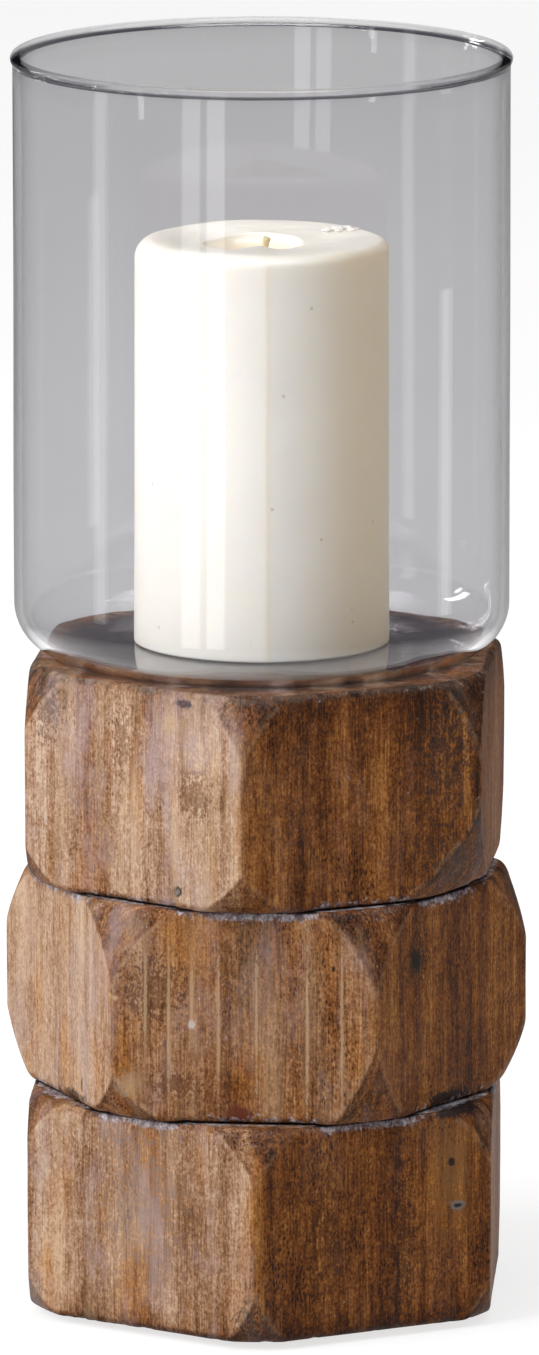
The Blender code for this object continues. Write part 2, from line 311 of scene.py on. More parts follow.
def add_mark(g, place, colour, noise, spot):
    """Colours one small feature: a knot, a stain, a pale line, or painted light such as the shade in a
    hole or crevice.
    """
    angle, level, across, tall, ragged, strength, tint = spot
    a = math.radians(angle)
    right, out = (math.cos(a), math.sin(a), 0.0), (math.sin(a), -math.cos(a), 0.0)
    sideways = g.node("VectorMath", {0: place, 1: right}, operation="DOT_PRODUCT")
    outward = g.node("VectorMath", {0: place, 1: out}, operation="DOT_PRODUCT")
    upward = g.node("SeparateXYZ", {0: place}).outputs["Z"]
    inward = g.minus(outward.outputs["Value"], MARK_RADIUS)
    scaled = g.node("CombineXYZ", {
        "X": g.times(sideways.outputs["Value"], 1.0 / (across * MM)),
        "Y": g.times(inward, 1.0 / MARK_REACH),
        "Z": g.times(g.minus(upward, level * MM), 1.0 / (tall * MM))})
    distance = g.node("VectorMath", {0: scaled.outputs[0]}, operation="LENGTH").outputs["Value"]
    distance = g.plus(distance, g.times(g.minus(noise, 0.5), 2.0 * ragged))
    cover = g.remap(distance, 1.2, 0.6, 0.0, strength, smooth=True)
    return g.mix(cover, colour, tint)


def wood_layers(g, seeded):
    """Noise for the wood, each with its features a metre across the grain and along it."""
    return {
        "fibre": g.noise(seeded, (1900.0, 1900.0, 85.0), 3.0, 0.6),
        "streak": g.noise(seeded, (300.0, 300.0, 10.0), 3.0, 0.55),
        "band": g.noise(seeded, (80.0, 80.0, 6.0), 2.0, 0.5),
        "blotch": g.noise(seeded, (70.0, 70.0, 32.0), 5.0, 0.62),
        "cloud": g.noise(g.offset(seeded, (5.0, 2.0, 1.0)), (46.0, 46.0, 30.0), 3.0, 0.6),
        "grit": g.noise(seeded, (1400.0, 1400.0, 950.0), 2.0, 0.7),
        "mottle": g.noise(g.offset(seeded, (1.0, 6.0, 2.0)), (420.0, 420.0, 300.0), 3.0, 0.70),
        "ragged": g.noise(seeded, (520.0, 520.0, 520.0), 3.0, 0.65),
    }


def ring_radius(g, place, seeded, pith):
    """Distance from the pith, which lies off the block's axis, with some wander."""
    wander = g.noise(seeded, (28.0, 28.0, 7.0), 2.0)
    flat = g.scale(g.offset(place, (-pith[0], -pith[1], 0.0)), (1.0, 1.0, 0.0))
    radius = g.node("VectorMath", {0: flat}, operation="LENGTH").outputs["Value"]
    return g.plus(radius, g.times(wander, RING_WANDER))


def wood_pores(g, seeded, cloud):
    """Dark open pores, longer than wide, thicker where the cloud is dense."""
    cells = g.node("TexVoronoi", {"Vector": g.scale(seeded, (1150.0, 1150.0, 470.0)), "Scale": 1.0})
    size = g.remap(cloud, 0.38, 0.66, 0.06, 0.42)
    return g.remap(g.minus(size, cells.outputs["Distance"]), 0.0, 0.20, smooth=True)


def wood_tone(g, place, seeded, pith, layers, pore):
    """Position on the wood's colour ramp, from noise, growth rings, pores and the painted-on stain,
    which is partly painted shade.
    """
    radius = ring_radius(g, place, seeded, pith)
    rings = g.math("FRACT", g.times(radius, 1.0 / RING_WIDTH))
    ring_tone = g.times(g.remap(rings, 0.0, 0.82), g.remap(rings, 0.86, 0.97, 1.0, 0.0, smooth=True))
    weights = (("streak", 0.58), ("band", 0.50), ("fibre", 0.74), ("blotch", 0.50), ("grit", 0.88),
               ("mottle", 0.58))
    tone = g.sum(0.620, [(layers[name], weight) for name, weight in weights] + [(ring_tone, 0.07)])

    line = g.math("FRACT", g.plus(g.times(radius, 1.0 / PALE_RING_WIDTH), 0.3))
    pulse = g.times(g.remap(line, 0.0, 0.03), g.remap(line, 0.03, 0.08, 1.0, 0.0))
    broken = g.remap(g.noise(seeded, (60.0, 60.0, 16.0), 2.0), 0.42, 0.62)
    tone = g.plus(tone, g.times(g.times(pulse, broken), 0.16))

    stain = g.attribute("stain")
    depth = g.remap(stain, -0.15, 0.05, 0.09, 0.27)
    tone = g.minus(tone, g.times(pore, depth))
    return g.minus(tone, stain)


def wood_drifts(g, seeded, colour):
    """Orange, grey-mauve and cream drifts in the stain. The rich facets, partly stained and partly
    painted shade on the side turned from the key light, get the full orange and less of the pale ones.
    """
    rich = g.attribute("rich")
    warm = g.remap(g.noise(g.offset(seeded, (9.0, 4.0, 7.0)), (90.0, 90.0, 20.0)), 0.50, 0.70)
    # the facets turned from the key light are painted richer: partly stain, partly painted shade
    warm = g.plus(g.times(warm, 0.60), rich, clamp=True)
    colour = g.mix(warm, colour, g.mix(1.0, colour, RICH_AND_SHADE, "MULTIPLY"))
    haze = g.noise(g.offset(seeded, (2.0, 8.0, 3.0)), (75.0, 75.0, 26.0), 5.0, 0.68)
    haze = g.times(g.remap(haze, 0.50, 0.68), g.remap(rich, 0.0, 1.0, 1.00, 0.08))
    colour = g.mix(haze, colour, g.mix(0.58, colour, MAUVE))
    pale = g.noise(g.offset(seeded, (4.0, 1.0, 5.0)), (110.0, 110.0, 7.0), 3.0, 0.6)
    pale = g.times(g.remap(pale, 0.52, 0.68), g.remap(rich, 0.0, 1.0, 0.34, 0.0))
    return g.mix(pale, colour, CREAM)


def joint_residue_and_painted_light(g, colour, layers):
    """Pale residue and painted shade in the joints, and rubbed edges with painted highlights along the
    creases. Also says how much residue there is.
    """
    uneven = g.minus(layers["ragged"], 0.5)
    wash = g.plus(g.attribute("wash"), g.times(uneven, 2.2))
    wash = g.times(g.remap(wash, 0.40, 0.72), g.remap(layers["grit"], 0.36, 0.60, 0.25, 0.95))
    chalk = g.mix(g.remap(layers["mottle"], 0.40, 0.60), RESIDUE_DARK, RESIDUE)
    colour = g.mix(wash, colour, chalk)
    # painted shade in the joints' crevices
    soot = g.plus(g.attribute("soot"), g.times(uneven, 0.7))
    colour = g.mix(g.remap(soot, 0.35, 0.75, 0.0, 0.93), colour, SHADE_BLACK)
    # painted highlight along the creases, partly rubbed wear, fainter on the facets turned from the key
    # light
    worn_and_lit = g.times(g.attribute("wear"), g.remap(layers["ragged"], 0.38, 0.60))
    worn_and_lit = g.times(worn_and_lit, g.remap(g.attribute("rich"), 0.0, 1.0, 1.0, 0.45))
    return g.mix(g.times(worn_and_lit, 0.45), colour, BARE_AND_HIGHLIGHT), wash


def wood_height(g, layers, pore, wash):
    """Height of the fine relief: grain and grit, with pores sunk and residue raised."""
    height = g.plus(g.times(layers["fibre"], 0.6), g.times(layers["streak"], 0.5))
    height = g.minus(height, g.times(pore, 0.5))
    height = g.plus(height, g.times(g.plus(layers["grit"], layers["mottle"]), 0.35))
    return g.plus(height, g.times(wash, 0.5))


def wood_material(name, spec):
    """Weathered, stained pine with upright grain, pores, marks and a pale residue in the joints, and
    painted light: shade in the joints, holes and crevices, under the glass, at the foot and on the
    facets turned from the key light, and highlights along the creases.
    """
    g = Graph(name)
    seed = spec["seed"]
    place = g.place()
    seeded = g.offset(place, (3.1 * seed, 1.7 * seed, 0.9 * seed))
    layers = wood_layers(g, seeded)
    pore = wood_pores(g, seeded, layers["cloud"])
    colour = g.ramp(wood_tone(g, place, seeded, spec["pith"], layers, pore), WOOD_RAMP)
    colour = wood_drifts(g, seeded, colour)
    speckle = g.times(g.plus(layers["mottle"], layers["grit"]), 0.5)
    for spot in spec["marks"]:
        colour = add_mark(g, place, colour, speckle, spot)
    colour, wash = joint_residue_and_painted_light(g, colour, layers)
    roughness = g.plus(g.remap(layers["streak"], 0.3, 0.7, 0.50, 0.68), g.times(wash, 0.2))
    roughness = g.plus(roughness, g.times(pore, 0.15), clamp=True)
    normal = g.bump(wood_height(g, layers, pore, wash), 0.15 * MM, 0.9)
    shader = g.node("BsdfPrincipled", {"Base Color": colour, "Roughness": roughness,
                                       "Specular IOR Level": 0.14, "Normal": normal})
    return g.finish(shader.outputs[0])


def corner(top_length, top_cut, bottom_length, bottom_cut):
    """How a block's corner is carved away towards each end, in millimetres."""
    return tuple(value * MM for value in (top_length, top_cut, bottom_length, bottom_cut))


KNOT = (0.030, 0.011, 0.005)
RUST = (0.115, 0.036, 0.014)
WHITE_FLECK = (0.62, 0.60, 0.60)
# painted shade with a violet painted reflection, for the top edge near the glass
INDIGO_SHADE_AND_REFLECTION = (0.030, 0.022, 0.045)
CHARCOAL = (0.040, 0.028, 0.024)
# painted shade: near black for the inside of holes that the mesh doesn't have
HOLE_SHADE = (0.010, 0.007, 0.006)
GREY_KNOT = (0.20, 0.185, 0.175)
OCHRE = (0.335, 0.175, 0.062)
RED_KNOT = (0.125, 0.026, 0.012)
PUTTY = (0.37, 0.33, 0.32)

# Corners run anticlockwise seen from above; the first faces the front, or just right of it.
# Facets run the same way, each between its corner and the next.
# Marks: angle from the front, height over the floor, half width, half height (degrees and
# millimetres), raggedness, strength, colour.
# Stain and rich, one number a facet, are partly real stain and partly painted shade: darker and richer
# on the facets turned from the key light, which comes from the front left.
BLOCKS = {
    "upper_block": {
        "turn": 0.0, "seed": 1, "pith": (0.030, 0.155),
        "corners": (
            corner(24.2, 7.3, 15.9, 7.3), corner(27.1, 6.1, 31.9, 10.3),
            corner(21.2, 6.8, 23.6, 6.8), corner(24.8, 6.8, 18.9, 6.8),
            corner(20.1, 6.8, 26.0, 8.2), corner(23.6, 7.6, 16.5, 6.3),
        ),
        "stain": (0.18, 0.14, 0.12, 0.02, 0.12, -0.07),
        "rich": (0.95, 0.80, 0.40, 0.20, 0.20, 0.0),
        "marks": (
            # painted shade: the near-black marks stand for the inside of holes
            (-16.1, 135.0, 1.7, 1.8, 0.7, 0.9, HOLE_SHADE), (-16.1, 135.0, 0.8, 0.9, 0.5, 0.8, GREY_KNOT),
            # painted shade and violet painted reflection at the top edge in front
            (-14.2, 190.8, 3.0, 1.3, 1.6, 0.8, INDIGO_SHADE_AND_REFLECTION), (-11.4, 164.0, 4.6, 6.5, 3.0, 0.50, RUST),
            (-33.2, 178.0, 3.4, 9.0, 3.0, 0.42, RUST), (-55.2, 184.0, 5.5, 8.0, 2.4, 0.40, CHARCOAL),
            (-11.4, 178.0, 3.4, 5.0, 4.5, 0.45, MAUVE), (-18.5, 185.0, 3.2, 4.0, 4.0, 0.45, CREAM),
            (-29.0, 158.0, 1.6, 15.0, 2.0, 0.40, CREAM), (-17.0, 150.0, 1.2, 18.0, 2.0, 0.35, CREAM),
            (52.8, 174.0, 7.5, 13.0, 5.0, 0.50, CHARCOAL), (54.4, 140.0, 9.0, 9.0, 4.0, 0.45, CHARCOAL),
        ),
    },
    "middle_block": {
        "turn": 30.0, "seed": 2, "pith": (-0.012, 0.175),
        "corners": (
            corner(30.1, 7.9, 29.9, 6.5), corner(26.0, 7.5, 23.6, 8.2),
            corner(21.2, 7.5, 20.1, 7.5), corner(23.6, 7.5, 24.8, 7.5),
            corner(22.4, 7.6, 23.6, 7.6), corner(29.5, 7.9, 17.7, 6.8),
        ),
        "stain": (0.20, 0.12, 0.05, 0.15, -0.17, 0.04),
        "rich": (1.00, 0.80, 0.40, 0.20, 0.15, 0.50),
        "marks": (
            # painted shade: the near-black marks stand for the inside of holes
            (44.8, 112.2, 5.2, 8.0, 1.6, 0.50, KNOT), (44.8, 112.2, 2.7, 3.5, 0.8, 0.92, HOLE_SHADE),
            # painted shadows: black bands under the middle block's carved bottom corners, where it
            # overhangs the block below
            (57.5, 68.8, 12.0, 2.2, 1.6, 0.88, SHADE_BLACK), (-50.9, 68.5, 9.0, 1.6, 1.4, 0.75, SHADE_BLACK),
            (21.6, 112.9, 0.5, 1.0, 0.4, 0.90, HOLE_SHADE), (-12.8, 95.5, 1.1, 1.4, 1.2, 0.70, WHITE_FLECK),
            (-16.4, 77.4, 7.5, 3.6, 2.8, 0.60, RUST), (-0.9, 69.4, 4.4, 2.5, 0.6, 0.92, RED_KNOT),
            (-46.1, 72.1, 0.5, 2.2, 0.4, 0.85, KNOT), (-21.6, 105.5, 7.5, 9.0, 3.2, 0.42, KNOT),
            (-27.2, 77.1, 3.8, 4.0, 2.6, 0.36, CREAM), (-29.4, 103.0, 1.0, 1.0, 0.8, 0.80, CREAM),
            *((angle, level, 0.45, tall, 3.0, 0.50, CREAM) for angle, level, tall in (
                (-23.3, 103.0, 15.0), (-18.2, 94.0, 22.0), (-12.8, 106.0, 12.0), (-6.2, 96.0, 22.0),
                (3.3, 98.0, 24.0), (15.7, 94.0, 26.0), (23.4, 96.0, 22.0))),
        ),
    },
    "lower_block": {
        "turn": 2.8, "seed": 3, "pith": (0.045, 0.150),
        "corners": (
            corner(20.3, 6.7, 18.9, 5.2), corner(18.9, 6.8, 15.0, 4.2),
            corner(23.6, 6.8, 21.2, 6.8), corner(20.1, 6.8, 24.8, 6.8),
            corner(24.8, 6.8, 20.1, 6.8), corner(15.3, 6.0, 15.0, 5.2),
        ),
        "stain": (0.24, 0.16, 0.05, 0.12, 0.10, -0.07),
        "rich": (1.00, 0.80, 0.40, 0.20, 0.10, 0.10),
        "marks": (
            # painted shade: the near-black marks stand for the inside of holes
            (53.7, 49.0, 5.0, 13.0, 5.0, 0.42, OCHRE), (53.7, 50.8, 1.2, 1.4, 0.6, 0.92, HOLE_SHADE),
            (55.2, 37.7, 2.6, 1.6, 1.0, 0.85, GREY_KNOT), (55.2, 37.5, 1.4, 0.7, 0.7, 0.90, HOLE_SHADE),
            # painted shadow: a black band on the lower block's top, under the middle block's
            # overhanging corner
            (57.5, 65.4, 12.0, 1.7, 1.4, 0.85, SHADE_BLACK),
            (-27.2, 41.0, 8.0, 16.0, 6.0, 0.30, PUTTY), (2.4, 9.5, 4.5, 5.0, 2.4, 0.55, CHARCOAL),
            (-57.0, 9.0, 4.5, 5.0, 1.8, 0.45, GREY_KNOT), (20.0, 30.0, 5.0, 16.0, 5.0, 0.30, KNOT),
            (41.0, 30.0, 3.2, 24.0, 5.0, 0.45, KNOT),
        ),
    },
}
BLOCK_STEPS = 720
SIDE_RINGS = 84
EDGE_RINGS = 10
EDGE_HEIGHT = 3.0 * MM        # rounding at the ends, along the axis
EDGE_DEPTH = 1.7 * MM         # and across
CUT_POWER = 1.5               # how the carved corners curve in
CREASE = 0.30 * MM            # rounding between a facet and the carved corners
FACE_RINGS = 14
BELLY = 0.5 * MM              # how far the widest part stands outside the hexagon's corners
CHIP_DEPTH = 1.8 * MM
BROAD_WEAR = 0.30 * MM        # hand-scraped unevenness
STROKE_DEPTH = 0.09 * MM


def corner_value(angle, turn, values):
    """Blends one number a corner round the block, holding it near each corner."""
    values = np.asarray(values)
    place = ((angle - math.radians(turn)) / (TAU / 6.0)) % 6.0
    low = np.floor(place).astype(int)
    blend = smooth_step(0.30, 0.70, place - low)
    return values[low % 6] * (1.0 - blend) + values[(low + 1) % 6] * blend


def facet_value(angle, turn, values):
    """One number a facet, blended quickly across the corners between facets."""
    values = np.asarray(values)
    place = ((angle - math.radians(turn + 30.0)) / (TAU / 6.0)) % 6.0
    low = np.floor(place).astype(int)
    blend = smooth_step(0.47, 0.53, place - low)
    return values[low % 6] * (1.0 - blend) + values[(low + 1) % 6] * blend


def block_radius(spec, apothem, height, angle, level):
    """Radius of a block's side, and how far its carved surface stands outside the facet there."""
    seed = spec["seed"] * 31
    x, y = np.sin(angle), -np.cos(angle)
    top_length, top_cut, bottom_length, bottom_cut = [
        corner_value(angle, spec["turn"], values) for values in zip(*spec["corners"])]
    widest = apothem / math.cos(math.pi / 6.0) + BELLY
    above = height - level
    wobble = 1.0 + 0.10 * value_noise(3.0 * x, 3.0 * y, level / 0.02, seed + 5)
    carved = widest - top_cut * np.clip(1.0 - above / top_length, 0.0, 1.0) ** CUT_POWER * wobble
    carved = carved - bottom_cut * np.clip(1.0 - level / bottom_length, 0.0, 1.0) ** CUT_POWER * wobble

    facet = np.full(np.broadcast(angle, level).shape, 1.0)
    for index in range(6):
        normal = math.radians(spec["turn"] + 30.0 + 60.0 * index)
        away = np.cos(angle - normal)
        lean = 0.35 * MM * math.sin(2.3 * index + seed) * (level / height - 0.5)
        inset = 0.25 * MM * (1.0 + math.sin(1.7 * index + seed))
        reach = (apothem - inset + lean) / np.maximum(away, 0.2)
        facet = np.minimum(facet, np.where(away > 0.2, reach, 1.0))
    return smooth_min(facet, carved, CREASE), carved - facet


def end_levels(height):
    """Heights of the rings up a block's side: close together over the rounded ends."""
    quarter = np.linspace(0.0, 0.5 * math.pi, EDGE_RINGS + 1)
    edge = EDGE_HEIGHT * (1.0 - np.cos(quarter))
    middle = np.linspace(EDGE_HEIGHT, height - EDGE_HEIGHT, SIDE_RINGS)
    return np.concatenate([edge[:-1], middle, height - edge[::-1][1:]])


def shape_side(spec, apothem, height, angles, heights):
    """The finished radius of a block's side, and how far the carving stands outside the facet."""
    seed = spec["seed"] * 31
    x, y = np.sin(angles), -np.cos(angles)
    side, proud = block_radius(spec, apothem, height, angles, heights)
    near_end = np.minimum(heights, height - heights)
    top_half = np.where(heights > 0.5 * height, 1.0, -1.0)
    uneven = 1.0 + 0.35 * value_noise(4.0 * x + 5.0 * top_half, 4.0 * y, 0.5, seed + 11)
    edge = np.clip(1.0 - near_end / EDGE_HEIGHT, 0.0, 1.0)
    side = side - EDGE_DEPTH * uneven * (1.0 - np.sqrt(1.0 - edge ** 2))
    chips = np.clip(fractal(20.0 * x, 20.0 * y, heights / 0.004, seed + 3) - 0.12, 0.0, 1.0)
    side = side - chips * CHIP_DEPTH * smooth_step(0.5, 1.0, edge)
    # the unevenness always goes into the wood
    px, py, pz = side * x, side * y, heights + 0.3 * spec["seed"]
    broad = 0.5 + 0.5 * fractal(px / 0.022, py / 0.022, pz / 0.03, seed + 1)
    strokes = 0.5 + 0.5 * fractal(px / 0.0035, py / 0.0035, pz / 0.03, seed + 2)
    side = side - BROAD_WEAR * broad - STROKE_DEPTH * strokes * smooth_step(0.0, 3.0 * MM, near_end)
    return side, proud, near_end


def paint_side(node, spec, height, outline, grids):
    """Stain, residue and wear on a block's side, for the material to read, with painted light: shade in
    the joints, at the foot and on the facets turned from the key light, and highlights along the
    creases.
    """
    angles, heights, side, proud, near_end = grids
    seed = spec["seed"] * 31
    x, y = np.sin(angles), -np.cos(angles)
    on_top = heights > 0.5 * height
    share = smooth_step(-0.25 * MM, 0.25 * MM, proud) * smooth_step(0.9 * MM, 2.4 * MM, near_end)
    # painted shade, partly real stain: each facet darker and richer the further it turns from the key
    # light, and the carved corners darker
    facet_stain_and_shade = facet_value(angles, spec["turn"], spec["stain"])
    ragged = fractal(9.0 * x, 9.0 * y, heights / 0.02, seed + 7)
    stain = facet_stain_and_shade * share + (1.0 - share) * (0.45 * facet_stain_and_shade + 0.20 + 0.12 * ragged)
    # painted shade: a dark line just past each crease, on the carved corner
    stain = stain + 0.07 * np.exp(-((proud + 0.5 * MM) / (0.4 * MM)) ** 2)
    rich = facet_value(angles, spec["turn"], spec["rich"])
    rich = rich * share + (1.0 - share) * (0.6 * rich + 0.20)

    rim = np.exp(-((near_end - 1.1 * MM) / (1.6 * MM)) ** 2)
    drift = smooth_step(0.0, 0.5, fractal(3.0 * x - 6.0, 3.0 * y, heights / 0.03, seed + 9))
    close = np.exp(-(np.maximum(side - outline, 0.0) / (1.8 * MM)) ** 2)
    wash = 1.2 * rim * residue_patches(x, y, seed) * close
    wash = wash + 0.20 * np.exp(-(near_end / (6.0 * MM)) ** 2) * drift
    wash = wash * np.where(on_top, 1.0, 0.45)
    # painted shade: black in the crevice at each end of the block
    soot = 0.95 * np.exp(-(near_end / (0.8 * MM)) ** 2) * (0.3 + 0.7 * close)
    # rubbed edges and painted highlight: a pale line along each crease, on the facet side
    wear = np.exp(-((proud - 0.45 * MM) / (0.40 * MM)) ** 2) * smooth_step(1.0 * MM, 4.0 * MM, near_end)
    if node == "lower_block":
        wash = np.where(on_top, wash, 0.15 * wash)
        # painted shade at the foot: black where it meets the floor, and darker over its lowest few
        # millimetres
        soot = np.where(on_top, soot, 0.8 * soot)
        stain = np.where(on_top, stain, stain + 0.22 * np.exp(-(near_end / (5.0 * MM)) ** 2))
    if node == "upper_block":
        # painted highlight, partly wear: a paler rubbed lip round the top edge
        lip = np.exp(-((near_end - 0.6 * MM) / (1.6 * MM)) ** 2)
        wash = np.where(on_top, 0.25 * wash, wash)
        soot = np.where(on_top, 0.0, soot)
        wear = np.where(on_top, np.maximum(wear, 0.35 * lip), wear)
        stain = np.where(on_top, stain + 0.19 * np.exp(-(near_end / (9.0 * MM)) ** 2), stain)
    return {"stain": stain, "rich": rich, "wash": wash, "soot": soot, "wear": wear}


def residue_patches(x, y, seed):
    """How much residue is left at each place round a joint."""
    return 0.45 + 0.55 * smooth_step(-0.35, 0.25, fractal(5.0 * x + 3.0, 5.0 * y, 0.5, seed + 8))


def paint_top(node, spec, radii, angle, outline):
    """The same on the top face: residue where the block above meets it, and painted shade under that
    block and under the glass.
    """
    seed = spec["seed"] * 31
    x, y = np.sin(angle), -np.cos(angle)
    clear = radii - outline
    wash = 1.3 * np.exp(-((clear - 1.4 * MM) / (2.7 * MM)) ** 2) * residue_patches(x, y, seed)
    # painted shade where the block above stands on this face
    soot = 0.9 * smooth_step(0.6 * MM, -0.4 * MM, clear)
    stain = 0.20 + 0.10 * fractal(radii * x / 0.012, radii * y / 0.012, 0.5, seed + 12)
    wear = np.zeros_like(radii)
    if node == "upper_block":
        # painted shade under the glass cup: the top face darker and patched with black
        shade_under_glass = smooth_step(66.0 * MM, 57.0 * MM, radii)
        wash, soot = 0.0 * wash, 0.55 * shade_under_glass
        stain = stain + 0.04 + 0.40 * shade_under_glass
    return {"stain": stain, "rich": 0.3 + wear, "wash": wash, "soot": soot, "wear": wear}


def measure(node):
    """A block's size, the grid of its side, and the shape of that side."""
    spec = BLOCKS[node]
    low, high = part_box(node)
    cad = np.array([vertex.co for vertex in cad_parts[node].data.vertices])
    apothem = np.hypot(cad[:, 0], cad[:, 1]).max() * math.cos(math.pi / 6.0)
    height = high.z - low.z
    angle = np.arange(BLOCK_STEPS) * TAU / BLOCK_STEPS
    angles, heights = np.meshgrid(angle, end_levels(height))
    side, proud, near_end = shape_side(spec, apothem, height, angles, heights)
    return {"low": low.z, "height": height, "grids": (angles, heights, side, proud, near_end)}


def wood_block(node, size, outline_above, outline_below, top_bore, foot_bore):
    """One block. Each bore lists (radius, depth) from its mouth inwards."""
    spec, height = BLOCKS[node], size["height"]
    angles, heights, side = size["grids"][:3]
    angle = angles[0]
    inward = np.linspace(0.0, 1.0, FACE_RINGS + 1)[1:, None] ** 2
    foot = side[0][None, :] * (1.0 - inward) + foot_bore[0][0] * inward
    top = side[-1][None, :] * (1.0 - inward) + top_bore[0][0] * inward
    rows = [(radii, 0.0) for radii in foot[::-1]]
    before = len(rows)
    rows += list(zip(side, heights[:, 0]))
    after = len(rows)
    rows += [(radii, height) for radii in top]
    rows += [(radius, height - depth) for radius, depth in top_bore[1:]]
    rows += [(radius, depth) for radius, depth in foot_bore[1:][::-1]]
    points = [ring(angle, radii, level + size["low"]) for radii, level in rows]
    obj = revolve_grid(node + "_wood", np.array(points))

    outline = np.where(heights > 0.5 * height, outline_above, outline_below)
    on_side = paint_side(node, spec, height, outline, size["grids"])
    on_top = paint_top(node, spec, top, angle, outline_above)
    for name, plain in (("stain", 0.12), ("rich", 0.3), ("wash", 0.0), ("soot", 0.0), ("wear", 0.0)):
        values = np.full((len(rows), BLOCK_STEPS), plain)
        values[before:after] = on_side[name]
        values[after:after + FACE_RINGS] = on_top[name]
        paint(obj, name, values)
    obj.data.materials.append(wood_material(node + "_pine", spec))
    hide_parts(node)
    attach(obj, "base")


BORE = 4.3 * MM
POCKET_RADIUS = 13.5 * MM
POCKET_DEPTH = 13.0 * MM
PLAIN_END = ((BORE, 0.0),)
POCKET_END = (
    (POCKET_RADIUS, 0.0), (POCKET_RADIUS, 0.5 * POCKET_DEPTH), (POCKET_RADIUS, POCKET_DEPTH),
    (0.5 * (BORE + POCKET_RADIUS), POCKET_DEPTH), (BORE, POCKET_DEPTH),
)
sizes = {node: measure(node) for node in BLOCKS}
foot_of = {node: size["grids"][2][0] for node, size in sizes.items()}
top_of = {node: size["grids"][2][-1] for node, size in sizes.items()}
wood_block("upper_block", sizes["upper_block"], top_of["upper_block"], top_of["middle_block"],
           POCKET_END, PLAIN_END)
wood_block("middle_block", sizes["middle_block"], foot_of["upper_block"], top_of["lower_block"],
           PLAIN_END, PLAIN_END)
wood_block("lower_block", sizes["lower_block"], foot_of["middle_block"], foot_of["lower_block"],
           PLAIN_END, POCKET_END)


# ---------------------------------------------------------------- glass cup

GLASS_STEPS = 288
CUP_WALL = 2.4 * MM
CUP_FLOOR = 2.2 * MM
CUP_CORNER = 15.0 * MM
CUP_AXIS = 4.0 * MM           # the innermost ring of the floor
BEAD = 1.55 * MM              # radius of the rolled rim
BEAD_PROUD = 0.72 * MM        # how far it stands outside the wall
BEAD_CLEAR = 0.74             # how much of the backdrop shows straight through the bead
CUP_TRIM = 0.09 * MM          # keeps the swaying wall inside the CAD cup
GLASS_TINT = (0.93, 0.922, 0.942)
GLASS_EDGE_TINT = (0.40, 0.395, 0.41)


def arc(centre, radius, start, end, count):
    """Points (radius, level) along an arc between two angles in degrees."""
    angles = np.radians(np.linspace(start, end, count))
    return [(centre[0] + radius * math.cos(a), centre[1] + radius * math.sin(a)) for a in angles]


def glass_material():
    """Thin clear glass with a light grey cast, darker where it is seen edge on, with faint ripples."""
    g = Graph("smoke_glass")
    place = g.place()
    ripple = g.noise(place, (26.0, 26.0, 5.0), 2.0)
    seeds = g.noise(place, (900.0, 900.0, 900.0), 1.0)
    rough = g.remap(seeds, 0.70, 0.80, 0.0, 0.05)
    normal = g.bump(ripple, 0.5 * MM, 0.35)
    grazing = g.remap(g.node("LayerWeight", {"Blend": 0.5}).outputs["Facing"], 0.62, 0.96, smooth=True)
    tint = g.mix(grazing, GLASS_TINT, GLASS_EDGE_TINT)
    glass = g.node("BsdfPrincipled", {
        "Base Color": tint, "Roughness": rough, "IOR": 1.48,
        "Transmission Weight": 1.0, "Normal": normal})
    clear = g.node("BsdfTransparent", {"Color": (0.95, 0.95, 0.955)})
    path = g.node("LightPath")
    open_to = g.math("MAXIMUM", path.outputs["Is Shadow Ray"], path.outputs["Is Diffuse Ray"])
    open_to = g.math("MAXIMUM", open_to, g.times(g.attribute("bead"), BEAD_CLEAR))
    mixed = g.node("MixShader", {0: open_to, 1: glass.outputs[0], 2: clear.outputs[0]})
    return g.finish(mixed.outputs[0])


def glass_cup():
    """The cup: up the inside from the floor, over the rolled rim and down the outside."""
    low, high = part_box("glass_hurricane")
    centre = 0.5 * (low + high)
    height = high.z - low.z
    rim_radius = 0.5 * (high.x - low.x)
    outer = rim_radius - BEAD_PROUD
    inner = outer - CUP_WALL
    inner_corner = CUP_CORNER - CUP_WALL
    bead_centre = (rim_radius - BEAD, height - BEAD)
    profile = [(r, CUP_FLOOR) for r in np.linspace(CUP_AXIS, inner - inner_corner, 12)]
    profile += arc((inner - inner_corner, CUP_FLOOR + inner_corner), inner_corner, -90.0, 0.0, 20)[1:]
    wall = np.linspace(CUP_FLOOR + inner_corner, bead_centre[1] - 1.0 * MM, 26)[1:]
    profile += [(inner, z) for z in wall]
    profile += arc(bead_centre, BEAD, 178.0, -50.0, 26)
    profile += [(outer + 0.10 * MM, bead_centre[1] - 1.75 * MM)]
    wall = np.linspace(bead_centre[1] - 2.6 * MM, CUP_CORNER, 26)
    profile += [(outer, z) for z in wall]
    profile += arc((outer - CUP_CORNER, CUP_CORNER), CUP_CORNER, 0.0, -90.0, 22)[1:]
    profile += [(r, 0.0) for r in np.linspace(outer - CUP_CORNER, CUP_AXIS, 13)[1:]]
    angle = np.arange(GLASS_STEPS) * TAU / GLASS_STEPS
    rows = []
    for radius, level in profile:
        sway = 0.05 * MM * np.sin(2.0 * angle + 30.0 * level)
        sway = sway + 0.04 * MM * np.sin(3.0 * angle + 55.0 * level)
        share = min(1.0, radius / outer) ** 4
        rows.append(ring(angle, radius - share * (CUP_TRIM + sway), level))
    points = np.array(rows) + np.array([centre.x, centre.y, low.z])
    cup = revolve_grid("glass_cup", points[::-1], capped=True)
    levels = points[::-1, :, 2] - low.z - bead_centre[1]
    paint(cup, "bead", smooth_step(-0.7 * BEAD, 0.1 * BEAD, levels))
    cup.data.materials.append(glass_material())
    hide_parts("glass_hurricane")
    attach(cup, "cup")


glass_cup()


# ---------------------------------------------------------------- candle

CANDLE_STEPS = 360
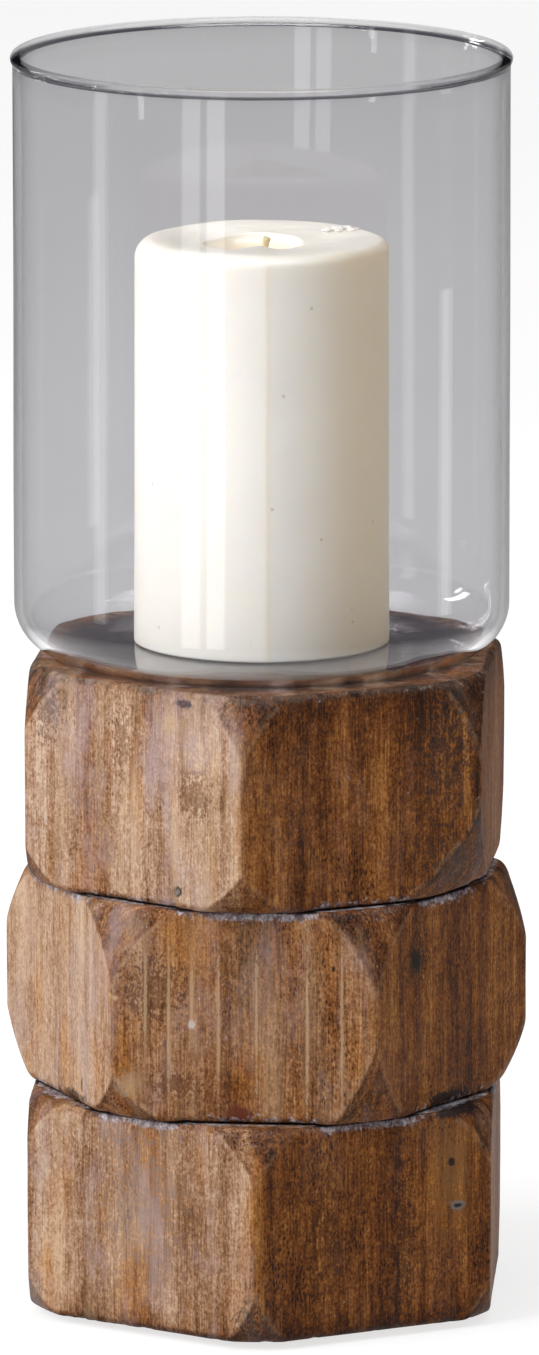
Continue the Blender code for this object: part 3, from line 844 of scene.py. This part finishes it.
# A faint upright ridge where the candle's mould closed
RIDGE_ANGLE = math.radians(CAMERA_AZIMUTH + 2.2)
RIDGE_HEIGHT = 0.45 * MM
RIDGE_WIDTH = 0.11                       # in radians
RIGHT_SHADE = 0.62                              # how much yellow painted shade the wax has to the right of the ridge, away from the key light
RIDGE_SHADE = 0.22                        # and as a thin painted shade line on the ridge
LIP = 13.8 * MM                          # radius of the well's mouth
WELL_SHIFT = (-3.4 * MM, 4.6 * MM)       # the wax has melted more behind the wick, and to its left
WELL_FLOOR = 9.0 * MM                    # below the candle's top
SHOULDER = 4.2 * MM                      # rounding at the top, more on the left
SHOULDER_TILT = 1.5 * MM
SLUMP = 0.9 * MM                         # unevenness of the top edge
CRUMB_SIDE = math.radians(130.0)         # where the top edge is lower, towards the crumbs
FOOT = 0.8 * MM                          # rounding at the foot
TAPER = 0.3 * MM
DENTS = 0.12 * MM
WICK_BORE = 1.4 * MM
# The socket for the wick's metal tab, as (radius, level) from the wick's bore to the candle's foot
TAB_SOCKET = (
    (WICK_BORE, 8.0 * MM), (2.7 * MM, 8.0 * MM), (2.7 * MM, 1.2 * MM), (9.8 * MM, 1.2 * MM),
    (9.8 * MM, 0.0),
)
IVORY = (0.94, 0.89, 0.78)
# painted shade in yellow, for the candle's shaded right side, its ridge and deep in its well
SHADE_YELLOW = (0.86, 0.66, 0.36)
FLECK = (0.45, 0.34, 0.22)


def wax_material(name, tint):
    """Wax that light enters a little, mottled, with a few dark flecks, and painted yellow shade on its
    right side, along its ridge and deep in its well.
    """
    g = Graph(name)
    place = g.place()
    mottle = g.noise(place, (60.0, 60.0, 40.0), 4.0, 0.55)
    skin = g.noise(place, (700.0, 700.0, 500.0), 3.0, 0.6)
    streaks = g.noise(place, (160.0, 160.0, 6.0), 2.0)
    colour = g.mix(g.remap(mottle, 0.35, 0.70), tint, tuple(0.94 * c for c in tint))
    # painted shade: yellow on the right side, along the ridge and deep in the well
    warm = g.attribute("warm")
    colour = g.mix(warm, colour, SHADE_YELLOW)
    speck = g.node("TexVoronoi", {"Vector": g.scale(place, (90.0, 90.0, 90.0)), "Scale": 1.0})
    fleck = g.remap(speck.outputs["Distance"], 0.035, 0.055, 1.0, 0.0)
    colour = g.mix(g.times(fleck, 0.5), colour, FLECK)
    height = g.plus(g.times(skin, 0.3), streaks)
    normal = g.bump(height, 0.12 * MM, 0.5)
    shader = g.node("BsdfPrincipled", {
        "Base Color": colour, "Roughness": g.remap(skin, 0.3, 0.7, 0.34, 0.46), "Normal": normal,
        "Subsurface Weight": 0.35, "Subsurface Radius": (1.0, 0.75, 0.45), "Subsurface Scale": 6.0 * MM,
        "IOR": 1.43})
    return g.finish(shader.outputs[0])


def pillar():
    """The candle: a lathe-turned side with a mould ridge, a slumped top and a melt well."""
    low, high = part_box("candle")
    centre = 0.5 * (low + high)
    radius = 0.5 * (high.x - low.x)
    height = high.z - low.z
    angle = np.arange(CANDLE_STEPS) * TAU / CANDLE_STEPS
    x, y = np.sin(angle), -np.cos(angle)
    rows, warm = [], []

    def put(radii, levels, shade_amount=0.0):
        rows.append(ring(angle, radii, levels))
        warm.append(np.broadcast_to(shade_amount, angle.shape))

    def side_radius(level):
        taper = TAPER * (level / height)
        away = np.abs((angle - RIDGE_ANGLE + math.pi) % TAU - math.pi)
        fall = RIDGE_HEIGHT * (1.0 - np.exp(-away / RIDGE_WIDTH))
        dents = DENTS * (0.5 + 0.5 * fractal(2.2 * x, 2.2 * y, level / 0.05 + 3.0, 41))
        return radius - taper - fall - dents

    # painted shade: the wax is yellower to the right of the ridge, away from the key light, and in a
    # thin line along it
    turn = np.degrees((angle - RIDGE_ANGLE) % TAU)
    yellow_shade = RIGHT_SHADE * smooth_step(5.0, 55.0, turn) * smooth_step(250.0, 120.0, turn)
    yellow_shade = yellow_shade + RIDGE_SHADE * np.exp(-(np.minimum(turn, 360.0 - turn) / 1.3) ** 2)
    for t in np.linspace(0.0, 0.5 * math.pi, 6):
        put(side_radius(0.0) - FOOT * (1.0 - math.sin(t)), FOOT * (1.0 - math.cos(t)), yellow_shade)
    shoulder = SHOULDER - SHOULDER_TILT * x
    crumb_side = np.exp(-((angle - CRUMB_SIDE) / 0.6) ** 2)
    top_edge = height - 0.4 * MM - SLUMP * (0.5 + 0.5 * value_noise(1.6 * x + 4.0, 1.6 * y, 0.0, 5))
    top_edge = top_edge - 1.0 * MM * crumb_side
    for level in np.linspace(0.03, 1.0, 60):
        span = FOOT + (top_edge - shoulder - FOOT) * level
        put(side_radius(span), span, yellow_shade)
    for t in np.linspace(0.0, 0.5 * math.pi, 16)[1:]:
        across = side_radius(height) - shoulder * (1.0 - math.cos(t))
        put(across, top_edge - shoulder * (1.0 - math.sin(t)), yellow_shade * (1.0 - t / (0.5 * math.pi)))
    # slumped top: down to the lip of the well, then into it
    lip = LIP + WELL_SHIFT[0] * x + WELL_SHIFT[1] * y
    lip = lip + 1.0 * MM * value_noise(2.0 * x, 2.0 * y, 1.0, 9)
    brim = side_radius(height) - shoulder
    well_floor = height - WELL_FLOOR
    lip_level = top_edge - 1.9 * MM + 0.9 * MM * value_noise(1.3 * x, 1.3 * y, 2.0, 11)
    for t in np.linspace(0.0, 1.0, 22)[1:]:
        sink = t * t * (3.0 - 2.0 * t)
        spread = 6.0 * (1.0 - 0.6 * t)
        ripple = 0.25 * MM * fractal(spread * x, spread * y, 4.0 * t, 13) * (1.0 - t) * 4.0 * t
        put(brim + (lip - brim) * t, top_edge + (lip_level - top_edge) * sink + ripple)
    for t in np.linspace(0.0, 0.5 * math.pi, 20)[1:]:
        r = WICK_BORE + (lip - WICK_BORE) * math.cos(t) ** 0.8
        depth = lip_level - (lip_level - well_floor) * math.sin(t) ** 0.9
        # painted shade: yellower deeper into the well
        put(np.maximum(r, WICK_BORE), depth, 0.55 * smooth_step(0.05, 0.8, math.sin(t)))
    for radii, levels in TAB_SOCKET:
        put(radii, levels)
    points = np.array(rows) + np.array([centre.x, centre.y, low.z])
    candle = revolve_grid("pillar_candle", points)
    paint(candle, "warm", np.array(warm))
    candle.data.materials.append(wax_material("ivory_wax", IVORY))
    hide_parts("candle")
    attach(candle, "candle")


pillar()


# Across, back and size of each crumb, in millimetres from the candle's axis
CRUMBS = (
    (17.5, 18.0, 1.5), (20.0, 20.5, 2.1), (23.0, 22.5, 1.7),
    (21.0, 17.5, 1.2), (24.5, 19.0, 1.3), (26.0, 21.0, 1.0),
)
CRUMB_SHAPE = (1.3, 0.9, 0.55)
CRUMB_DROP = 1.4 * MM         # their middles lie this far below the candle's highest point


def wax_crumbs():
    """Chips of wax left on the candle's top."""
    low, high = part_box("candle")
    shape = bmesh.new()
    for number, (across, back, size) in enumerate(CRUMBS):
        ball = bmesh.ops.create_icosphere(shape, subdivisions=3, radius=size * MM)["verts"]
        centre = Vector((0.5 * (low.x + high.x) + across * MM, back * MM, high.z - CRUMB_DROP))
        places = np.array([vertex.co for vertex in ball]) / (size * MM)
        lumps = 0.75 + 0.35 * fractal(*(1.4 * places.T + 7.0 * number), 61 + number)
        for vertex, lump in zip(ball, lumps):
            vertex.co = Vector(CRUMB_SHAPE) * vertex.co * float(lump) + centre
    mesh = bpy.data.meshes.new("wax_crumbs")
    shape.to_mesh(mesh)
    shape.free()
    mesh.shade_smooth()
    mesh.materials.append(bpy.data.materials["ivory_wax"])
    crumbs = add_object("wax_crumbs", mesh)
    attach(crumbs, "candle")


wax_crumbs()


# ---------------------------------------------------------------- small CAD parts keep their shape

def plain_noise_material(name, base, other, metallic, roughness, features, bump):
    """Two close colours, mixed by fine noise that also roughens the surface."""
    g = Graph(name)
    grain = g.noise(g.place(), features, 3.0, 0.6)
    colour = g.mix(g.remap(grain, 0.3, 0.7), base, other)
    shader = g.node("BsdfPrincipled", {
        "Base Color": colour, "Metallic": metallic,
        "Roughness": g.remap(grain, 0.3, 0.7, roughness - 0.08, roughness + 0.08),
        "Normal": g.bump(grain, bump, 0.6)})
    return g.finish(shader.outputs[0])


def dress(nodes, material):
    """Gives CAD pieces their material, and keeps their edges sharp."""
    for name in nodes:
        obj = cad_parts[name]
        obj.data.materials.clear()
        obj.data.materials.append(material)
        obj.data.shade_smooth()
        obj.data.set_sharp_from_angle(angle=math.radians(35.0))


STEEL = plain_noise_material("zinc_steel", (0.55, 0.55, 0.54), (0.40, 0.40, 0.41), 1.0, 0.38,
                             (900.0, 900.0, 900.0), 0.03 * MM)
BEECH = plain_noise_material("beech", (0.52, 0.36, 0.20), (0.42, 0.27, 0.14), 0.0, 0.62,
                             (600.0, 600.0, 40.0), 0.05 * MM)
FELT = plain_noise_material("felt", (0.020, 0.018, 0.017), (0.050, 0.045, 0.042), 0.0, 0.92,
                            (1800.0, 1800.0, 1800.0), 0.3 * MM)
COTTON = plain_noise_material("waxed_cotton", (0.86, 0.74, 0.42), (0.62, 0.50, 0.27), 0.0, 0.6,
                              (1400.0, 1400.0, 500.0), 0.1 * MM)
TIN = plain_noise_material("tinned_sheet", (0.66, 0.66, 0.66), (0.52, 0.52, 0.53), 1.0, 0.34,
                           (700.0, 700.0, 700.0), 0.02 * MM)
dress(("tie_rod", "top_washer", "top_nut", "bottom_washer", "bottom_nut"), STEEL)
dress(("lower_dowel_left", "lower_dowel_right", "upper_dowel_left", "upper_dowel_right"), BEECH)
dress([f"felt_pad_{number}" for number in range(1, 7)], FELT)
dress(("wick",), COTTON)
dress(("wick_tab",), TIN)


# ---------------------------------------------------------------- stage and lights

FLOOR_REACH = 30.0            # metres each way
FLOOR_GLOW = 0.70
# The photograph's backdrop is grey behind the glass and dim in its reflections
FLOOR_GLOW_BY_RAY = (("Is Diffuse Ray", 0.25), ("Is Glossy Ray", 0.06), ("Is Transmission Ray", 0.26))
# but the floor close to the stack is bright in the glass's bottom curve
NEAR_GLOW = 0.90
NEAR_REACH = (0.35, 0.65)


def add_floor():
    """A pale sweep that glows a little of itself, so it stays even; the object still shades it."""
    g = Graph("pale_floor")
    place = g.place()
    tone = g.noise(place, (3.0, 3.0, 3.0), 2.0)
    colour = g.mix(g.remap(tone, 0.3, 0.7), (0.36, 0.36, 0.36), (0.34, 0.34, 0.34))
    shader = g.node("BsdfDiffuse", {"Color": colour, "Roughness": 0.5})
    path = g.node("LightPath")
    strength = FLOOR_GLOW
    for ray, glow in FLOOR_GLOW_BY_RAY:
        strength = g.between(path.outputs[ray], strength, glow)
    away = g.node("VectorMath", {0: place}, operation="LENGTH").outputs["Value"]
    near = g.remap(away, *NEAR_REACH, 1.0, 0.0)
    indirect = g.math("MAXIMUM", path.outputs["Is Glossy Ray"], path.outputs["Is Transmission Ray"])
    strength = g.between(g.times(near, indirect), strength, NEAR_GLOW)
    glow = g.node("Emission", {"Color": (1.0, 1.0, 1.0), "Strength": strength})
    both = g.node("AddShader", {0: shader.outputs[0], 1: glow.outputs[0]})
    material = g.finish(both.outputs[0])
    mesh = bpy.data.meshes.new("floor")
    corners = [(x * FLOOR_REACH, y * FLOOR_REACH, 0.0) for x, y in ((-1, -1), (1, -1), (1, 1), (-1, 1))]
    mesh.from_pydata(corners, [], [(0, 1, 2, 3)])
    mesh.materials.append(material)
    floor = add_object("floor", mesh)


def area_light(name, azimuth, elevation, distance, size, radiance, height=0.2,
               diffuse=True, glossy=True):
    """A soft panel, its azimuth counted from the camera's, facing the axis at that height.

    The panels that glossy surfaces see and diffuse ones don't are also seen through the glass.
    """
    data = bpy.data.lights.new(name, "AREA")
    data.shape = "RECTANGLE"
    data.size, data.size_y = size
    data.energy = radiance * 4.0 * size[0] * size[1]
    light = add_object(name, data)
    target = Vector((0.0, 0.0, height))
    light.location = target + direction(CAMERA_AZIMUTH + azimuth, elevation) * distance
    aim(light, target)
    light.visible_camera = False
    light.visible_diffuse = diffuse
    light.visible_glossy = glossy
    light.visible_transmission = glossy and not diffuse


BEAM_COLOUR = (0.69, 0.78, 1.0)
BEAM_WIDTH = 5.6              # degrees
BEAM_HEIGHT = 0.270
BEAM_DISTANCE = 2.2


def candle_spot():
    """A narrow, cool beam that lights the candle and leaves the wood alone."""
    data = bpy.data.lights.new("candle_beam", "SPOT")
    data.energy = 84.0
    data.color = BEAM_COLOUR
    data.shadow_soft_size = 0.10
    data.spot_size = math.radians(BEAM_WIDTH)
    data.spot_blend = 0.5
    light = add_object("candle_beam", data)
    target = Vector((0.0, 0.0, BEAM_HEIGHT))
    light.location = target + direction(CAMERA_AZIMUTH - 50.0, 10.0) * BEAM_DISTANCE
    aim(light, target)
    light.visible_glossy = False


def upright_panel(name, azimuth, width, low, high, radiance, distance=1.1):
    """A narrow upright panel for reflections, so many degrees wide, between two heights."""
    middle = 0.5 * (low + high)
    wide = 2.0 * distance * math.tan(math.radians(0.5 * width))
    area_light(name, azimuth, 0.0, distance, (wide, high - low), radiance, height=middle, diffuse=False)


ROOM_CAST = (0.84, 0.76, 1.0)


def add_world(strength, reflected, seen):
    """Even soft light. Glossy surfaces see a darker room with a violet cast, the camera a pale one."""
    world = bpy.data.worlds.new("studio")
    bpy.context.scene.world = world
    g = Graph("studio", world)
    path = g.node("LightPath")
    level = g.between(path.outputs["Is Glossy Ray"], strength, reflected)
    level = g.between(path.outputs["Is Camera Ray"], level, seen)
    cast = g.mix(path.outputs["Is Glossy Ray"], (1.0, 1.0, 1.0), ROOM_CAST)
    background = g.node("Background", {"Color": cast, "Strength": level})
    g.finish(background.outputs[0])


add_floor()
add_world(0.42, 0.07, 0.86)
area_light("key", -62.0, 30.0, 1.9, (1.3, 1.3), 4.6, glossy=False)
area_light("overhead", 10.0, 80.0, 2.4, (3.0, 3.0), 0.8, glossy=False)
candle_spot()
upright_panel("window_left", -31.5, 8.0, -0.05, 0.60, 1.2, distance=0.65)
upright_panel("window_right", -20.5, 8.0, -0.05, 0.60, 1.4, distance=0.65)
upright_panel("strip_near", -56.5, 3.0, 0.205, 0.60, 3.4)
upright_panel("strip_far", -78.5, 7.0, -0.05, 0.60, 1.0)
upright_panel("strip_right", 93.0, 7.0, -0.05, 0.132, 1.0)
area_light("corner_light", -125.0, 21.0, 1.1, (0.10, 0.42), 9.0, height=0.20, diffuse=False)
area_light("corner_light_2", -118.0, 13.0, 1.1, (0.05, 0.20), 9.0, height=0.20, diffuse=False)
area_light("rim_light", 0.0, 62.0, 1.6, (1.6, 0.9), 9.0, height=0.37, diffuse=False)

scene = bpy.context.scene
scene.view_settings.view_transform = "Standard"
scene.cycles.use_denoising = True
